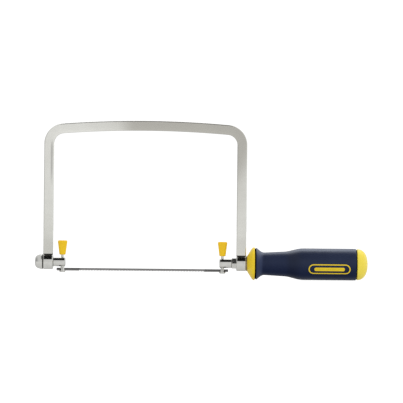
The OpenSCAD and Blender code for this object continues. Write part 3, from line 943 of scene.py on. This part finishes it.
def build_sleeve():
    """Soft sleeve. Its front lip is the floor of the seam, and its rear lip steps down to the cap."""
    front, end, steps = SEAM_FRONT_X + PRESS_GAP, sleeve_high.x, 110
    lip_r, lip_edge, wall_gap = sleeve_radius(CREST_X) - SEAM_DEPTH, 0.3, 0.05
    # Distance before the end, depth below the palm, and rounding
    rear_lip = ((1.2, 0.05, 0.4), (0.75, 0.35, 0.3), (0.7, SEAM_DEPTH, 0))
    outline = [(front, NECK_R + wall_gap), (front, lip_r), (SEAM_REAR_X, lip_r),
               (SEAM_REAR_X, sleeve_radius(SEAM_REAR_X) - lip_edge)]
    for i in range(steps + 1):
        x = SEAM_REAR_X + lip_edge + (PALM_REAR_X - SEAM_REAR_X - lip_edge) * i / steps
        outline.append((x, sleeve_radius(x)))
    outline += fillet([(PALM_REAR_X + 0.5, PALM_R),
                       *((end - run, PALM_R - drop, rounding) for run, drop, rounding in rear_lip)])
    outline += [(end, PALM_R - SEAM_DEPTH), (end, TUBE_R + wall_gap), (RAMP_REAR_X, TUBE_R + wall_gap),
                (RAMP_FRONT_X, NECK_R + wall_gap)]
    turned("handle_sleeve_body", outline, "handle_sleeve", NAVY, closed=True, around=AROUND_HANDLE)


def build_end_cap():
    """Rounded cap with a plug that closes the core's cavity."""
    start, radius, plug_r = sleeve_high.x, cap_high.z, CAVITY_R - PRESS_GAP
    face_x, edge_x, rim_x = start + RUN_GAP, start + 0.3, start + 0.5
    outline = [(cap_low.x, 0), (cap_low.x, CAVITY_R - 1), (cap_low.x + 1, plug_r), (face_x, plug_r),
               (face_x, radius - SEAM_DEPTH), (edge_x, radius - SEAM_DEPTH), (edge_x, radius - 0.25),
               (start + 0.4, radius - 0.08)]
    outline += superellipse(rim_x, cap_high.x, radius, power=2.25, steps=30)
    turned("handle_end_cap_body", outline, "handle_end_cap", PALE_YELLOW, around=AROUND_HANDLE)


def build_inlay():
    """Blank panel moulded into the palm: a pill-shaped outline with a plain bar in it, no lettering."""
    half_length, half_height, stroke, proud, sunk = 20.5, 5.0, 1.1, 0.10, 0.5
    bar_inset, bar_share, core_height = 3.2, 0.86, 0.02
    centre_x, centre_angle = 1.0, math.radians(-17)

    def pill(grow):
        """Closed outline of the panel, (along, across) from its middle, grown by a distance."""
        points, radius, steps = [], half_height + grow, 16
        for side in (1, -1):
            for i in range(steps + 1):
                angle = -side * math.pi / 2 + math.pi * i / steps
                points.append((side * (half_length - half_height) + radius * math.cos(angle),
                               radius * math.sin(angle)))
        return points

    def on_palm(points, height):
        """Lays points on the camera's side of the palm, a height above its surface."""
        placed = []
        for u, v in points:
            angle = centre_angle + v / PALM_R
            radius = PALM_R + height
            placed.append((centre_x + u, -radius * math.cos(angle), radius * math.sin(angle)))
        return placed

    def band(name, outer, inner):
        rings = [on_palm(outer, -sunk), on_palm(outer, proud),
                 on_palm(inner, proud), on_palm(inner, -sunk)]
        make_piece(name, *loft(rings, closed=True), "handle_sleeve", YELLOW, replaces=False, sharp=45)

    band("grip_panel_rim", pill(0), pill(-stroke))
    bar = [(u * bar_share, v) for u, v in pill(-bar_inset)]
    core = [(u * bar_share, v * core_height) for u, v in pill(-bar_inset - 0.05)]
    band("grip_panel_bar", bar, core)


def dress(node, material):
    """Gives a CAD node that stays a material of its own."""
    materials = frame["nodes"][node].data.materials
    materials.clear()
    materials.append(material)


# ---------------------------------------------------------------- studio

# The studio is in metres, but for the sensor's width in millimetres and the roll in radians
FLOOR_GAP = 0.0002
FLOOR_HALF = 4.0
CAMERA_DISTANCE = 2.5
CAMERA_X, CAMERA_Z = -0.1245, 0.0604
CAMERA_ROLL = -0.0101
FRAME_WIDTH = 0.395
SENSOR_WIDTH = 36.0


def by_ray(s, camera, mirror, fill):
    """One value for what the camera sees, one for reflections and one for soft light."""
    kind = {"data_type": "FLOAT"}
    glossy = s.add("ShaderNodeLightPath", "Is Glossy Ray")
    level = s.add("ShaderNodeMix", 0, settings=kind, i0=glossy, i2=fill, i3=mirror)
    direct = s.add("ShaderNodeLightPath", "Is Camera Ray")
    return s.add("ShaderNodeMix", 0, settings=kind, i0=direct, i2=level, i3=camera)


def build_floor():
    """Pale floor that glows evenly, and less behind the saw where chrome reflects it."""
    size, z = FLOOR_HALF, cad_low.z - FLOOR_GAP
    mesh = bpy.data.meshes.new("floor")
    mesh.from_pydata([(-size, -size, z), (size, -size, z), (size, size, z), (-size, size, z)], [],
                     [(0, 1, 2, 3)])
    s = new_shader("floor")
    paper = s.noise(s.place(), 30.0)
    tone = s.mix(s.span(paper, 0.3, 0.7, 0.0, 1.0), (0.2, 0.2, 0.2, 1), (0.21, 0.21, 0.21, 1))
    mirror = s.span(s.axis("Y"), -0.02, 0.03, 0.72, 0.40, smooth=True)
    glow = by_ray(s, camera=0.9, mirror=mirror, fill=0.62)
    mesh.materials.append(s.finish(Base_Color=tone, Roughness=0.9, Specular_IOR_Level=0.0,
                                   Emission_Color=(1, 1, 1, 1), Emission_Strength=glow))
    floor = bpy.data.objects.new("floor", mesh)
    bpy.context.scene.collection.objects.link(floor)


def build_world():
    """White room. Mirrors see a narrow dark ceiling panel, a greyer front and a brighter rear in it."""
    world = bpy.data.worlds.new("studio")
    bpy.context.scene.world = world
    s = Shader(world)
    x, y, z = (s.axis(letter, output="Generated") for letter in "XYZ")
    height = s.math("ARCTAN2", z, s.math("MULTIPLY", y, -1.0))
    panel = s.product(s.span(height, math.radians(30), math.radians(42), 0.0, 1.0, smooth=True),
                      s.span(height, math.radians(104), math.radians(118), 1.0, 0.0, smooth=True),
                      s.span(s.math("ABSOLUTE", x), 0.15, 0.3, 1.0, 0.0, smooth=True))
    room = s.product(s.span(x, -0.95, -0.45, 0.55, 1.0, smooth=True),
                     s.span(x, 0.4, 0.9, 1.0, 1.2, smooth=True), 0.9)
    mirror = s.product(room, s.span(panel, 0.0, 1.0, 1.0, 0.01))
    fill = s.product(s.span(z, -1.0, 1.0, 0.95, 1.26), s.span(x, -1.0, 1.0, 0.94, 1.1))
    level = by_ray(s, camera=1.06, mirror=mirror, fill=fill)
    s.end("ShaderNodeOutputWorld", s.add("ShaderNodeBackground", Color=(1, 1, 1, 1), Strength=level))


def build_overhead_light():
    """Faint strip light above and behind the saw."""
    light = bpy.data.lights.new("overhead_strip", "AREA")
    light.shape = "RECTANGLE"
    light.size, light.size_y, light.energy = 1.2, 0.5, 2
    place, target = Vector((0.05, 0.5, 0.9)), Vector((-0.1, 0, 0.05))
    lamp = bpy.data.objects.new("overhead_strip", light)
    lamp.location = place
    lamp.rotation_euler = (target - place).to_track_quat("-Z", "Y").to_euler()
    lamp.visible_camera = False
    bpy.context.scene.collection.objects.link(lamp)


def build_camera():
    """Long lens square to the saw's side, rolled a little to match the saw's droop in the picture."""
    camera = bpy.data.cameras.new("camera")
    camera.sensor_width = SENSOR_WIDTH
    camera.lens = SENSOR_WIDTH * CAMERA_DISTANCE / FRAME_WIDTH
    camera.clip_end = 20.0
    eye = bpy.data.objects.new("camera", camera)
    eye.location = (CAMERA_X, -CAMERA_DISTANCE, CAMERA_Z)
    eye.rotation_euler = (math.pi / 2, CAMERA_ROLL, 0)
    bpy.context.scene.collection.objects.link(eye)
    bpy.context.scene.camera = eye


# ---------------------------------------------------------------- build

build_bow()
build_front_barrel()
build_rear_barrel()
build_washer("front_washer", 0.12, DARK)
build_washer("thrust_washer", 0.2, BRASS)
build_front_spigot()
build_front_dome_nut()
build_rear_spigot()
build_draw_stud()
build_lever_pin("front_lever_pin", -1)
build_lever_pin("rear_lever_pin", 1)
build_lever_grip("front_lever_grip", "front_lever_pin")
build_lever_grip("rear_lever_grip", "rear_lever_pin")
build_blade()
build_blade_pins()
build_core()
build_sleeve()
build_end_cap()
build_inlay()
dress("snap_ring", DARK)
dress("handle_insert", BRASS)

build_floor()
build_world()
build_overhead_light()
build_camera()
bpy.context.scene.view_settings.view_transform = "Standard"
